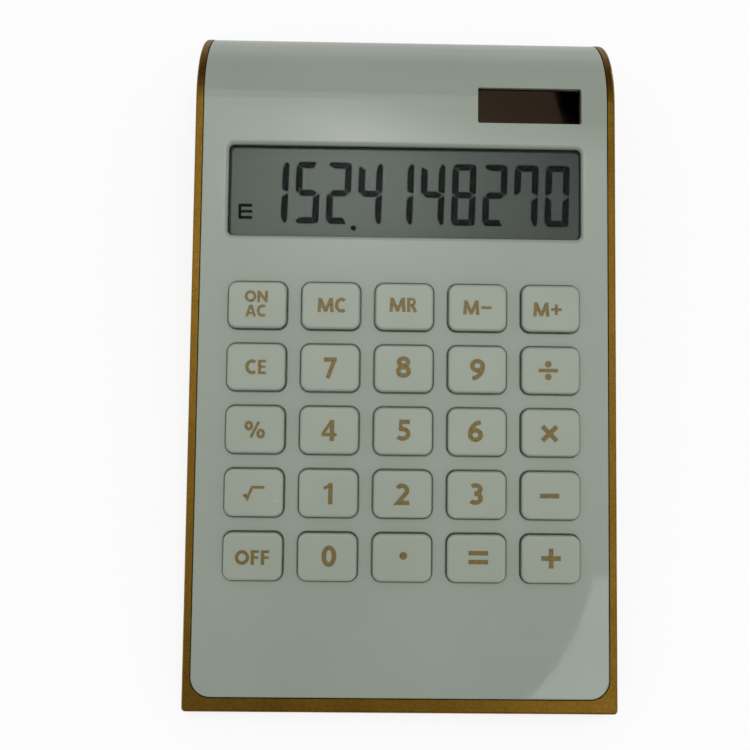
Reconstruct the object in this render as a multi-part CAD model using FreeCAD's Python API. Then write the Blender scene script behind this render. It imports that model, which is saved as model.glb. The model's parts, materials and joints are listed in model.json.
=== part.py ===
import FreeCAD, Part
import math
import os

from FreeCAD import Placement, Rotation, Vector

# Desk calculator, millimetres. X to the right, Y to the back, Z up, origin on the desk under the middle.
# The face is a tilted plane that rolls down at the back. Face pieces are drawn flat, with x across,
# y up the face from the front edge and z out of it, and on_face() tilts them into place.

# Case
overall_width = 105.0
overall_length = 175.0
face_tilt = math.radians(7.5)
front_height = 8.0
roll_radius = 23.0

# Gold tray
tray_bottom = 0.8
floor_thickness = 1.8
side_rim = 1.88
front_rim = 3.28
rim_gap = 0.12
ledge_width = 1.07
seat_gap = 0.05
lip_height = 2.5
flange_thickness = 1.4
flange_height = 3.0
tray_corner_radius = 1.0
tray_edge_round = 0.6

# White face plate
plate_thickness = 2.0
plate_corner_radius = 4.8
plate_edge_round = 0.4

# Keys, by row from the back
key_rows = (
    ("on_ac", "mc", "mr", "m_minus", "m_plus"),
    ("ce", "7", "8", "9", "divide"),
    ("percent", "4", "5", "6", "multiply"),
    ("root", "1", "2", "3", "minus"),
    ("off", "0", "point", "equals", "plus"),
)
key_gap = 3.8
key_side_margin = 7.45
palm_rest = 28.0
keypad_to_display = 11.9
key_corner_radius = 2.1
key_proud = 1.5
key_edge_round = 0.6
key_hole_clearance = 0.3
key_hole_bevel = 0.15
key_flange_width = 0.8
key_flange_thickness = 0.9
key_flange_clearance = 0.05
key_wall = 1.2
key_plunger_radius = 2.0

# Rubber membrane under the keys
dome_gap = 0.05
dome_height = 1.6
dome_base_radius = 4.0
dome_top_radius = 3.0
dome_wall = 0.8
membrane_thickness = 0.8
membrane_border = 0.3
pill_radius = 1.7
pill_thickness = 0.3

# Display
display_side_margin = 6.5
display_window_height = 22.9
display_to_roll = 11.8
display_corner_radius = 1.4
display_edge_round = 1.0
display_cover = 1.2
lens_overlap = 1.2
lens_clearance = 0.2
lens_thickness = 0.8
film_thickness = 0.2
film_inset = 0.3
glass_thickness = 0.7
stack_gap = 0.03
terminal_ledge = 3.4
zebra_width = 2.2
zebra_inset = 4.0
foam_inset = 2.5

# Solar cell
solar_window_width = 26.0
solar_window_height = 9.15
solar_above_display = 6.2
solar_corner_radius = 0.5
solar_cover = 1.2
cell_overlap = 1.5
cell_thickness = 1.1
cell_clearance = 0.2

# Circuit board and what it carries
board_thickness = 1.2
board_edge_gap = 0.6
board_overhang = 4.5
board_back_reach = 0.8
board_corner_radius = 1.5
chip_radius = 6.0
chip_height = 1.6
capacitor_radius = 2.5
capacitor_length = 7.0
capacitor_round = 0.3
capacitor_offset = 28.0

# Board screws
board_screw_inset = 1.9
board_screw_radius = 0.8
board_screw_head_radius = 1.6
board_screw_head_height = 1.1
board_post_radius = 1.6
board_screw_depth = 3.2
screw_clearance = 0.05

# Case screws and feet
case_screw_inset = 22.5
case_screw_setback = 13.0
case_screw_radius = 1.3
case_screw_head_radius = 2.2
case_screw_head_height = 1.5
case_screw_cover = 1.2
case_boss_radius = 3.8
case_boss_height = 2.0
case_post_radius = 2.6
counterbore_depth = 2.0
counterbore_clearance = 0.3
foot_inset = 9.0
foot_setback = 9.0
foot_radius = 4.5
foot_recess = 0.8
foot_clearance = 0.2
foot_edge_round = 0.3
foot_boss_wall = 1.2

# Battery bay
cell_diameter = 10.5
cell_length = 43.3
cell_round = 0.4
nub_diameter = 3.8
nub_length = 1.2
battery_to_back = 46.5
bay_clearance = 0.5
bay_wall = 1.2
battery_lift = 0.4
contact_thickness = 0.4
contact_width = 8.0
contact_foot = 0.4
tail_width = 2.0
tail_rise = 1.6
tail_slot_clearance = 0.3
spring_length = 5.0
spring_wire_radius = 0.3
spring_radius = 3.2
spring_turns = 4
contact_gap = 0.05

# Battery door
door_thickness = 1.6
door_clearance = 0.2
tab_width = 6.0
tab_spacing = 30.0
tab_reach = 1.3
tab_thickness = 0.8
tab_clearance = 0.3
thumb_radius = 5.0
thumb_depth = 1.25
neck_inset = 0.15
notch_room = 1.5

# Leads
battery_lead_radius = 0.4
battery_lead_run = 13.2
battery_lead_end = 10.5
solar_lead_radius = 0.35
solar_lead_spread = 8.0
lead_gap = 0.02
lead_share = 0.45

# Reach of cutting solids past the case, and limits for finding edges
case_depth = 40.0
near = 0.05
sharp_turn = math.radians(20)

# Places worked out from the sizes above
tangent = math.tan(face_tilt)
cosine = math.cos(face_tilt)
sine = math.sin(face_tilt)
half_width = overall_width / 2
half_length = overall_length / 2
roll_y = half_length - roll_radius
roll_z = front_height + (roll_y + half_length) * tangent - roll_radius / cosine
flat_length = (overall_length - roll_radius - roll_radius * sine) / cosine
floor_top = tray_bottom + floor_thickness
lip_top = tray_bottom + lip_height
plate_half = half_width - side_rim - rim_gap
plate_front = front_rim + rim_gap
cavity_half = plate_half + rim_gap - ledge_width

key_columns = len(key_rows[0])
display_top = flat_length - display_to_roll
display_bottom = display_top - display_window_height
display_half = plate_half - display_side_margin
keypad_front = plate_front + palm_rest
keypad_back = display_bottom - keypad_to_display
keypad_half = plate_half - key_side_margin
key_width = (2 * keypad_half - (key_columns - 1) * key_gap) / key_columns
key_height = (keypad_back - keypad_front - (len(key_rows) - 1) * key_gap) / len(key_rows)

flange_top = -plate_thickness - key_flange_clearance
flange_bottom = flange_top - key_flange_thickness
dome_top = flange_bottom - dome_gap
sheet_top = dome_top - dome_height
board_top = sheet_top - membrane_thickness
board_bottom = board_top - board_thickness
board_half = cavity_half - board_edge_gap
board_front = keypad_front - board_overhang
solar_bottom = display_top + solar_above_display
solar_top = solar_bottom + solar_window_height
solar_left = display_half - solar_window_width
solar_middle = display_half - solar_window_width / 2
board_back = solar_bottom + board_back_reach
board_screw_x = board_half - board_screw_inset
board_screw_rows = (
    board_front + board_overhang / 2,
    (keypad_front + keypad_back) / 2,
    (keypad_back + display_bottom) / 2,
    display_top - board_overhang,
)
lens_half = display_half + lens_overlap
lens_back = display_top + lens_overlap
lens_front = display_bottom - lens_overlap
glass_top = -display_cover - lens_thickness - film_thickness - 2 * stack_gap

bay_y = half_length - battery_to_back
bay_half_x = (cell_length + nub_length + spring_length) / 2 + contact_thickness + contact_gap
bay_half_y = cell_diameter / 2 + bay_clearance
door_top = tray_bottom + door_thickness
battery_z = door_top + battery_lift + cell_diameter / 2
bay_ceiling = battery_z + cell_diameter / 2 + battery_lift
bay_top = bay_ceiling + bay_wall
tail_top = bay_top + tail_rise
door_half_x = bay_half_x + bay_wall - door_clearance
door_half_y = bay_half_y + bay_wall - door_clearance
hinge_radius = (door_thickness - seat_gap) / 2
hinge_y = bay_y - door_half_y + hinge_radius
hinge_z = tray_bottom + hinge_radius

face_turn = Rotation(Vector(1, 0, 0), math.degrees(face_tilt))
face_frame = Placement(Vector(0, -half_length, front_height), face_turn)
case_screw_places = [
    (side * (half_width - case_screw_inset), end * (half_length - case_screw_setback))
    for side in (-1, 1)
    for end in (-1, 1)
]
foot_places = [
    (side * (half_width - foot_inset), end * (half_length - foot_setback))
    for side in (-1, 1)
    for end in (-1, 1)
]


def face_height(y):
    return front_height + (y + half_length) * tangent


case_screw_seat = tray_bottom + counterbore_depth
case_screw_tip = face_height(case_screw_setback - half_length) - case_screw_cover
case_boss_top = floor_top + case_boss_height


def on_face(shape):
    placed = shape.copy()
    placed.Placement = face_frame.multiply(placed.Placement)
    return placed


def box(x0, x1, y0, y1, z0, z1):
    return Part.makeBox(x1 - x0, y1 - y0, z1 - z0, Vector(x0, y0, z0))


def rod(x, y, z0, z1, radius):
    return Part.makeCylinder(radius, z1 - z0, Vector(x, y, z0))


def segment(start, end):
    return Part.LineSegment(start, end).toShape()


def rounded_wire(x0, x1, y0, y1, radius, z):
    # Rectangle with round corners, as lines and quarter arcs
    edges = []
    diagonal = radius * math.sqrt(0.5)
    corners = ((x1, y0, -1, 1), (x1, y1, -1, -1), (x0, y1, 1, -1), (x0, y0, 1, 1))
    previous_end = None
    first_start = None
    for index, (x, y, inward_x, inward_y) in enumerate(corners):
        centre = Vector(x + inward_x * radius, y + inward_y * radius, z)
        along_x = Vector(x + inward_x * radius, y, z)
        along_y = Vector(x, y + inward_y * radius, z)
        middle = Vector(centre.x - inward_x * diagonal, centre.y - inward_y * diagonal, z)
        start, end = (along_x, along_y) if index % 2 == 0 else (along_y, along_x)
        if previous_end:
            edges.append(segment(previous_end, start))
        else:
            first_start = start
        edges.append(Part.Arc(start, middle, end).toShape())
        previous_end = end
    edges.append(segment(previous_end, first_start))
    return Part.Wire(edges)


def rounded_slab(x0, x1, y0, y1, radius, z0, z1):
    return Part.Face(rounded_wire(x0, x1, y0, y1, radius, z0)).extrude(Vector(0, 0, z1 - z0))


def flared_hole(x0, x1, y0, y1, radius, bottom, bevel):
    # Straight hole with a bevelled mouth at height 0
    straight = rounded_slab(x0, x1, y0, y1, radius, bottom, bevel)
    low = rounded_wire(x0, x1, y0, y1, radius, -bevel)
    wide = 2 * bevel
    high = rounded_wire(x0 - wide, x1 + wide, y0 - wide, y1 + wide, radius + wide, bevel)
    return straight.fuse(Part.makeLoft([low, high], True, True))


def case_solid(inset):
    # Everything under the face and inside the roll, inset by a wall
    radius = roll_radius - inset
    sweep = math.pi / 2 + face_tilt

    def on_roll(angle):
        return Vector(-half_width, roll_y + radius * math.cos(angle), roll_z + radius * math.sin(angle))

    front_top = Vector(-half_width, -half_length, front_height - inset / cosine)
    front_low = Vector(-half_width, -half_length, -case_depth)
    back_low = Vector(-half_width, roll_y + radius, -case_depth)
    outline = Part.Wire([
        segment(front_top, on_roll(sweep)),
        Part.Arc(on_roll(sweep), on_roll(sweep / 2), on_roll(0)).toShape(),
        segment(on_roll(0), back_low),
        segment(back_low, front_low),
        segment(front_low, front_top),
    ])
    return Part.Face(outline).extrude(Vector(overall_width, 0, 0))


def skin_depth(point):
    # Depth of a point below the outside of the case
    flat = face_frame.inverse().multVec(point)
    if flat.y < flat_length:
        return -flat.z
    if point.z < roll_z:
        return half_length - point.y
    return roll_radius - math.hypot(point.y - roll_y, point.z - roll_z)


def plan_prism(half, front, radius):
    # Column square to the face, with round corners at the front only
    far = 2 * overall_length
    slab = rounded_slab(-half, half, front, far, radius, -case_depth, case_depth)
    return on_face(slab)


def above(height):
    return box(-overall_width, overall_width, -overall_length, overall_length, height, 3 * case_depth)


def face_normal(face, point):
    u, v = face.Surface.parameter(point)
    return face.normalAt(u, v)


def edge_middle(edge):
    return edge.valueAt((edge.FirstParameter + edge.LastParameter) / 2)


def sharp_edges(solid):
    found = []
    for edge in solid.Edges:
        faces = solid.ancestorsOfType(edge, Part.Face)
        if len(faces) != 2:
            continue
        middle = edge_middle(edge)
        turn = face_normal(faces[0], middle).getAngle(face_normal(faces[1], middle))
        if turn > sharp_turn:
            found.append(edge)
    return found


def tray_shell():
    outer = case_solid(0).common(above(tray_bottom))
    upright = []
    for edge in sharp_edges(outer):
        middle = edge_middle(edge)
        at_corner = abs(abs(middle.x) - half_width) < near and middle.y < near - half_length
        if at_corner:
            upright.append(edge)
    outer = outer.makeFillet(tray_corner_radius, upright)
    outer = outer.makeFillet(tray_edge_round, sharp_edges(outer))
    pocket = plan_prism(plate_half + rim_gap, front_rim, plate_corner_radius + rim_gap)
    pocket = pocket.common(above(lip_top)).cut(case_solid(plate_thickness + seat_gap))
    cavity_corner = plate_corner_radius + rim_gap - ledge_width
    cavity = plan_prism(cavity_half, front_rim + ledge_width, cavity_corner)
    cavity = cavity.common(case_solid(plate_thickness)).common(above(floor_top))
    flange_back = half_length - plate_thickness - rim_gap
    flange_front = flange_back - flange_thickness
    behind = box(-overall_width, overall_width, flange_front, overall_length, 0, lip_top + flange_height)
    over_flange = box(-overall_width, overall_width, flange_back, overall_length, lip_top, case_depth)
    return outer.cut(pocket).cut(cavity.cut(behind)).cut(over_flange.common(
        plan_prism(plate_half + rim_gap, front_rim, plate_corner_radius)))


def base_tray():
    tray = tray_shell()
    added = []
    removed = []
    for x, y in case_screw_places:
        added.append(rod(x, y, tray_bottom, case_boss_top, case_boss_radius))
        removed.append(rod(x, y, 0, case_screw_seat, case_screw_head_radius + counterbore_clearance))
        removed.append(rod(x, y, 0, case_depth, case_screw_radius + counterbore_clearance))
    for x, y in foot_places:
        added.append(rod(x, y, tray_bottom, floor_top + foot_recess, foot_radius + foot_boss_wall))
        removed.append(rod(x, y, 0, tray_bottom + foot_recess, foot_radius + foot_clearance))
    outer_x = bay_half_x + bay_wall
    outer_y = bay_half_y + bay_wall
    added.append(box(-outer_x, outer_x, bay_y - outer_y, bay_y + outer_y, tray_bottom, bay_top))
    removed.append(box(-outer_x, outer_x, bay_y - outer_y, bay_y + outer_y, 0, door_top))
    removed.append(box(-bay_half_x, bay_half_x, bay_y - bay_half_y, bay_y + bay_half_y, 0, bay_ceiling))
    thumb_z = tray_bottom + thumb_depth - thumb_radius
    removed.append(Part.makeSphere(thumb_radius, Vector(0, bay_y + outer_y, thumb_z)))
    for side in (-1, 1):
        slot_half = tail_width / 2 + tail_slot_clearance
        slot_x = side * (bay_half_x - contact_thickness / 2)
        reach = contact_thickness / 2 + tail_slot_clearance
        removed.append(box(slot_x - reach, slot_x + reach, bay_y - slot_half, bay_y + slot_half,
                           bay_ceiling - bay_wall, case_depth))
        notch_x = side * tab_spacing / 2
        notch_half = tab_width / 2 + tab_clearance
        notch_top = floor_top + tab_thickness + notch_room
        removed.append(box(notch_x - notch_half, notch_x + notch_half, bay_y - outer_y,
                           bay_y - bay_half_y, tray_bottom, notch_top))
    return tray.multiFuse(added).cut(removed).removeSplitter()


def key_centres():
    # Column by column within each row, from the back row
    for row, names in enumerate(key_rows):
        y = keypad_back - key_height / 2 - row * (key_height + key_gap)
        for column, name in enumerate(names):
            x = -keypad_half + key_width / 2 + column * (key_width + key_gap)
            yield name, x, y


def display_mouth(plate):
    # Edges round the display window on the outside of the plate
    found = []
    to_face = face_frame.inverse()
    for edge in plate.Edges:
        points = [to_face.multVec(point) for point in edge.discretize(3)]
        if all(abs(point.z) < near and abs(point.x) < display_half + near
               and display_bottom - near < point.y < display_top + near for point in points):
            found.append(edge)
    return found


def face_plate():
    skin = case_solid(0).cut(case_solid(plate_thickness))
    blank = skin.common(plan_prism(plate_half, plate_front, plate_corner_radius))
    blank = blank.common(above(lip_top + rim_gap))
    outside = []
    for edge in sharp_edges(blank):
        points = [vertex.Point for vertex in edge.Vertexes] + [edge_middle(edge)]
        level = all(abs(point.z - points[0].z) < near for point in points)
        at_back = level and points[0].y > roll_y
        if max(abs(skin_depth(point)) for point in points) < near and not at_back:
            outside.append(edge)
    plate = blank.makeFillet(plate_edge_round, outside)

    holes = []
    half_x = key_width / 2 + key_hole_clearance
    half_y = key_height / 2 + key_hole_clearance
    corner = key_corner_radius + key_hole_clearance
    through = -2 * plate_thickness
    hole = flared_hole(-half_x, half_x, -half_y, half_y, corner, through, key_hole_bevel)
    for name, x, y in key_centres():
        holes.append(hole.translated(Vector(x, y, 0)))
    holes.append(rounded_slab(-display_half, display_half, display_bottom, display_top,
                              display_corner_radius, through, plate_thickness))
    room = lens_clearance
    holes.append(box(-lens_half - room, lens_half + room, lens_front - room, lens_back + room,
                     through, -display_cover))
    holes.append(box(-lens_half - room, lens_half + room, lens_front - terminal_ledge - room, lens_back + room,
                     board_top, glass_top + stack_gap))
    holes.append(rounded_slab(solar_left, display_half, solar_bottom, solar_top, solar_corner_radius,
                              through, plate_thickness))
    pocket = cell_overlap + cell_clearance
    holes.append(box(solar_left - pocket, display_half + pocket, solar_bottom - pocket, solar_top + pocket,
                     through, -solar_cover))
    plate = plate.cut([on_face(hole) for hole in holes])
    plate = plate.makeFillet(display_edge_round, display_mouth(plate))

    under = case_solid(plate_thickness / 2)
    posts = []
    pilots = []
    for x, y in case_screw_places:
        post = rod(x, y, case_boss_top + seat_gap, case_depth, case_post_radius)
        posts.append(post.common(under))
        pilots.append(rod(x, y, 0, case_screw_tip + screw_clearance, case_screw_radius + screw_clearance))
    for side in (-1, 1):
        for y in board_screw_rows:
            x = side * board_screw_x
            posts.append(on_face(rod(x, y, board_top, -plate_thickness / 2, board_post_radius)))
            pilot_radius = board_screw_radius + screw_clearance
            pilots.append(on_face(rod(x, y, board_top, -plate_thickness, pilot_radius)))
    return plate.multiFuse(posts).cut(pilots).removeSplitter()


def key_cap():
    # Hollow cap with a flange that stays under the plate and a plunger over its dome
    half_x = key_width / 2
    half_y = key_height / 2
    cap = rounded_slab(-half_x, half_x, -half_y, half_y, key_corner_radius, flange_bottom, key_proud)
    rim = [edge for edge in cap.Edges if abs(edge.BoundBox.ZMin - key_proud) < near]
    cap = cap.makeFillet(key_edge_round, rim)
    wide_x = half_x + key_flange_width
    wide_y = half_y + key_flange_width
    flange = rounded_slab(-wide_x, wide_x, -wide_y, wide_y, key_corner_radius + key_flange_width,
                          flange_bottom, flange_top)
    inner_x = half_x - key_wall
    inner_y = half_y - key_wall
    hollow = rounded_slab(-inner_x, inner_x, -inner_y, inner_y, key_corner_radius - key_wall,
                          flange_bottom, key_proud - key_wall)
    plunger = rod(0, 0, flange_bottom, key_proud - key_wall / 2, key_plunger_radius)
    return cap.fuse(flange).cut(hollow).fuse(plunger).removeSplitter()


def keypad_membrane():
    border = key_flange_width + membrane_border
    sheet = rounded_slab(-keypad_half - border, keypad_half + border, keypad_front - border,
                         keypad_back + border, key_corner_radius, board_top, sheet_top)
    dome = Part.makeCone(dome_base_radius, dome_top_radius, dome_height, Vector(0, 0, sheet_top))
    hollow_depth = dome_height + membrane_thickness - dome_wall
    hollow = Part.makeCone(dome_base_radius - dome_wall / 2, dome_top_radius - dome_wall, hollow_depth,
                           Vector(0, 0, board_top))
    places = [Vector(x, y, 0) for name, x, y in key_centres()]
    domes = [dome.translated(place) for place in places]
    hollows = [hollow.translated(place) for place in places]
    return on_face(sheet.multiFuse(domes).cut(hollows))


def carbon_pills():
    roof = dome_top - dome_wall
    return [on_face(rod(x, y, roof - pill_thickness, roof, pill_radius)) for name, x, y in key_centres()]


def circuit_board():
    board = rounded_slab(-board_half, board_half, board_front, board_back, board_corner_radius,
                         board_bottom, board_top)
    holes = [rod(side * board_screw_x, y, board_bottom, board_top, board_screw_radius + screw_clearance)
             for side in (-1, 1) for y in board_screw_rows]
    return on_face(board.cut(holes))


def chip_cover():
    # Low dome of resin over the chip, under the board
    sphere_radius = (chip_radius ** 2 + chip_height ** 2) / (2 * chip_height)
    y = (keypad_back + display_bottom) / 2
    ball = Part.makeSphere(sphere_radius, Vector(0, y, board_bottom - chip_height + sphere_radius))
    below = box(-chip_radius, chip_radius, y - chip_radius, y + chip_radius,
                board_bottom - 2 * chip_height, board_bottom)
    return on_face(ball.common(below))


def smoothing_capacitor():
    y = (keypad_back + display_bottom) / 2
    start = Vector(-capacitor_offset - capacitor_length, y, board_bottom - capacitor_radius - lead_gap)
    can = Part.makeCylinder(capacitor_radius, capacitor_length, start, Vector(1, 0, 0))
    return on_face(can.makeFillet(capacitor_round, can.Edges))


def board_screws():
    screws = []
    for side in (-1, 1):
        for y in board_screw_rows:
            x = side * board_screw_x
            head = rod(x, y, board_bottom - board_screw_head_height, board_bottom, board_screw_head_radius)
            tip = board_top + board_screw_depth
            shank = rod(x, y, board_bottom, tip, board_screw_radius)
            screws.append(on_face(head.fuse(shank)))
    return screws


def case_screws():
    screws = []
    for x, y in case_screw_places:
        head = rod(x, y, case_screw_seat - case_screw_head_height, case_screw_seat, case_screw_head_radius)
        shank = rod(x, y, case_screw_seat, case_screw_tip, case_screw_radius)
        slot = case_screw_radius / 2
        cross = box(x - case_screw_radius, x + case_screw_radius, y - slot / 2, y + slot / 2,
                    0, case_screw_seat - case_screw_head_height / 2)
        turned = cross.copy()
        turned.rotate(Vector(x, y, 0), Vector(0, 0, 1), 90)
        screws.append(head.fuse(shank).cut(cross.fuse(turned)))
    return screws


def rubber_feet():
    feet = []
    for x, y in foot_places:
        pad = rod(x, y, 0, tray_bottom + foot_recess, foot_radius)
        rim = [edge for edge in pad.Edges if edge.BoundBox.ZMax < near]
        feet.append(pad.makeFillet(foot_edge_round, rim))
    return feet


def display_stack():
    # Lens, films and glasses from the window inwards
    film = (-lens_half + film_inset, lens_half - film_inset, lens_front + film_inset, lens_back - film_inset)
    full = (-lens_half, lens_half, lens_front, lens_back)
    long = (-lens_half, lens_half, lens_front - terminal_ledge, lens_back)
    layers = (
        ("display_lens", full, lens_thickness),
        ("display_front_film", film, film_thickness),
        ("display_front_glass", long, glass_thickness),
        ("display_rear_glass", full, glass_thickness),
        ("display_reflector", film, film_thickness),
    )
    stack = {}
    level = -display_cover
    front_glass_back = level
    for name, outline, thickness in layers:
        stack[name] = on_face(box(*outline, level - thickness, level))
        level -= thickness + stack_gap
        if name == "display_front_glass":
            front_glass_back = level
    stack["display_foam"] = on_face(box(-lens_half + foam_inset, lens_half - foam_inset,
                                        lens_front + foam_inset, lens_back - foam_inset,
                                        board_top + stack_gap, level))
    strip_front = lens_front - terminal_ledge / 2 - zebra_width / 2
    stack["zebra_strip"] = on_face(box(-lens_half + zebra_inset, lens_half - zebra_inset,
                                       strip_front, strip_front + zebra_width,
                                       board_top + stack_gap, front_glass_back))
    return stack


def solar_cell():
    return on_face(box(solar_left - cell_overlap, display_half + cell_overlap,
                       solar_bottom - cell_overlap, solar_top + cell_overlap,
                       -solar_cover - cell_thickness, -solar_cover))


def rounded_path(points):
    # Straight runs joined by tangent arcs, each as large as its runs allow
    edges = []
    last = points[0]
    for before, corner, after in zip(points, points[1:], points[2:]):
        inward = (before - corner).normalize()
        outward = (after - corner).normalize()
        half_turn = (math.pi - inward.getAngle(outward)) / 2
        cut = lead_share * min((before - corner).Length, (after - corner).Length)
        radius = cut / math.tan(half_turn)
        print("lead bend radius %.2f" % radius)
        bisector = (inward + outward).normalize()
        middle = corner + bisector * (radius / math.cos(half_turn) - radius)
        start = corner + inward * cut
        end = corner + outward * cut
        edges.append(segment(last, start))
        edges.append(Part.Arc(start, middle, end).toShape())
        last = end
    edges.append(segment(last, points[-1]))
    return Part.Wire(edges)


def tube(path, start, direction, radius):
    ring = Part.Wire(Part.makeCircle(radius, start, direction))
    solid = path.makePipeShell([ring], True, False)
    expected = math.pi * radius ** 2 * path.Length
    print("tube volume %.3f, section times length %.3f" % (solid.Volume, expected))
    return solid


def solar_lead(side):
    # Soldered flat along the back of the cell, then flat on the board
    x = solar_middle + side * solar_lead_spread
    under_cell = -solar_cover - cell_thickness - solar_lead_radius - lead_gap
    on_board = board_top + solar_lead_radius + lead_gap
    points = [
        Vector(x, solar_top - cell_overlap, under_cell),
        Vector(x, (solar_top + solar_bottom) / 2, under_cell),
        Vector(x, solar_bottom - cell_overlap, on_board),
        Vector(x, lens_back + 2 * lens_clearance, on_board),
    ]
    return on_face(tube(rounded_path(points), points[0], points[1] - points[0], solar_lead_radius))


def board_underside(y):
    return face_height(y) + board_bottom / cosine


def battery_lead(side):
    # From the contact's tail to the underside of the board
    x = side * (bay_half_x + battery_lead_radius + lead_gap)
    drop = (battery_lead_radius + lead_gap) / cosine
    first = bay_y + tail_width / 2
    second = bay_y - battery_lead_run
    third = second - battery_lead_end
    points = [
        Vector(x, first, tail_top - battery_lead_radius),
        Vector(x, second, board_underside(second) - drop),
        Vector(x, third, board_underside(third) - drop),
    ]
    return tube(rounded_path(points), points[0], points[1] - points[0], battery_lead_radius)


def battery_contact(side):
    inner = side * (bay_half_x - contact_thickness)
    outer = side * bay_half_x
    x0 = min(inner, outer)
    x1 = max(inner, outer)
    low = door_top + contact_foot
    plate = box(x0, x1, bay_y - contact_width / 2, bay_y + contact_width / 2, low, bay_ceiling - contact_foot)
    tail = box(x0, x1, bay_y - tail_width / 2, bay_y + tail_width / 2, low, tail_top)
    return plate.fuse(tail).removeSplitter()


def battery_cell():
    start = -bay_half_x + contact_thickness + spring_length + contact_gap
    body = Part.makeCylinder(cell_diameter / 2, cell_length, Vector(start, bay_y, battery_z), Vector(1, 0, 0))
    body = body.makeFillet(cell_round, body.Edges)
    nub = Part.makeCylinder(nub_diameter / 2, nub_length, Vector(start + cell_length, bay_y, battery_z),
                            Vector(1, 0, 0))
    return body.fuse(nub).removeSplitter()


def tangent_arc(start, direction, end):
    chord = end - start
    along = Vector(chord).normalize()
    across = direction - along * direction.dot(along)
    sagitta = chord.Length / 2 * math.tan(direction.getAngle(chord) / 2)
    middle = (start + end) / 2 + across.normalize() * sagitta
    return Part.Arc(start, middle, end).toShape()


def battery_spring():
    # One unbroken coil along the battery, each quarter turn two tangent arcs
    quarters = 4 * spring_turns
    base = -bay_half_x + contact_thickness + contact_gap + spring_wire_radius
    climb = (spring_length - contact_gap * 2 - 2 * spring_wire_radius) / quarters
    slope = climb / (spring_radius * math.pi / 2)

    def place(quarter):
        angle = quarter * math.pi / 2
        return Vector(base + climb * quarter, bay_y + spring_radius * math.cos(angle),
                      battery_z + spring_radius * math.sin(angle))

    def heading(quarter):
        angle = quarter * math.pi / 2
        return Vector(slope, -math.sin(angle), math.cos(angle)).normalize()

    edges = []
    for quarter in range(quarters):
        start = place(quarter)
        end = place(quarter + 1)
        leave = heading(quarter)
        arrive = heading(quarter + 1)
        chord = end - start
        both = chord.dot(leave + arrive)
        spread = 2 * (1 - leave.dot(arrive))
        reach = (math.sqrt(both ** 2 + spread * chord.dot(chord)) - both) / spread
        joint = (start + end + (leave - arrive) * reach) / 2
        join_heading = (end - start - (leave + arrive) * reach).normalize()
        edges.append(tangent_arc(start, leave, joint))
        edges.append(tangent_arc(joint, join_heading, end))
    samples = [place(step / 4) for step in range(4 * quarters + 1)]
    gaps = [(a - b).Length for i, a in enumerate(samples) for b in samples[i + 8:]]
    print("least gap in the coil %.2f" % (min(gaps) - 2 * spring_wire_radius))
    return tube(Part.Wire(edges), place(0), heading(0), spring_wire_radius)


def battery_door():
    # The hinge edge is round about the axis that the door turns on
    edge = bay_y - door_half_y
    latch = bay_y + door_half_y
    outline = [Vector(-door_half_x, y, z) for y, z in (
        (hinge_y, tray_bottom), (latch, tray_bottom),
        (latch, door_top - seat_gap), (hinge_y, door_top - seat_gap))]
    sides = [segment(start, end) for start, end in zip(outline, outline[1:])]
    middle = Vector(-door_half_x, edge, hinge_z)
    sides.append(Part.Arc(outline[-1], middle, outline[0]).toShape())
    door = Part.Face(Part.Wire(sides)).extrude(Vector(2 * door_half_x, 0, 0))
    tabs = []
    neck_front = edge + neck_inset
    neck_back = neck_front + tab_thickness
    tab_low = floor_top + seat_gap
    tab_high = tab_low + tab_thickness
    for side in (-1, 1):
        x0 = side * tab_spacing / 2 - tab_width / 2
        tabs.append(box(x0, x0 + tab_width, neck_front, neck_back, hinge_z, tab_high))
        tabs.append(box(x0, x0 + tab_width, edge - door_clearance - tab_reach, neck_back, tab_low, tab_high))
    return door.multiFuse(tabs).removeSplitter()


def save(name, shape):
    solids = shape if isinstance(shape, list) else [shape]
    for solid in solids:
        if not solid.isValid() or len(solid.Solids) != 1:
            print("CHECK", name, solid.isValid(), len(solid.Solids))
    whole = Part.Compound(solids) if len(solids) > 1 else solids[0]
    whole.exportStep("parts/%s.step" % name)
    extent = whole.BoundBox
    print("%-22s %7.2f %7.2f %7.2f" % (name, extent.XLength, extent.YLength, extent.ZLength))


os.makedirs("parts", exist_ok=True)
save("base_tray", base_tray())
save("face_plate", face_plate())
cap_shape = key_cap()
for key_name, key_x, key_y in key_centres():
    save("key_" + key_name, on_face(cap_shape.translated(Vector(key_x, key_y, 0))))
save("keypad_membrane", keypad_membrane())
save("carbon_pills", carbon_pills())
save("circuit_board", circuit_board())
save("chip_cover", chip_cover())
save("smoothing_capacitor", smoothing_capacitor())
save("board_screws", board_screws())
save("case_screws", case_screws())
save("rubber_feet", rubber_feet())
for layer_name, layer_shape in display_stack().items():
    save(layer_name, layer_shape)
save("solar_cell", solar_cell())
save("solar_lead_positive", solar_lead(1))
save("solar_lead_negative", solar_lead(-1))
save("battery_cell", battery_cell())
save("battery_contact_positive", battery_contact(1))
save("battery_contact_negative", battery_contact(-1))
save("battery_spring", battery_spring())
save("battery_lead_positive", battery_lead(1))
save("battery_lead_negative", battery_lead(-1))
save("battery_door", battery_door())
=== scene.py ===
import bmesh
import bpy
import json
import math
from mathutils import Euler, Matrix, Vector
from mathutils.geometry import delaunay_2d_cdt


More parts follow.
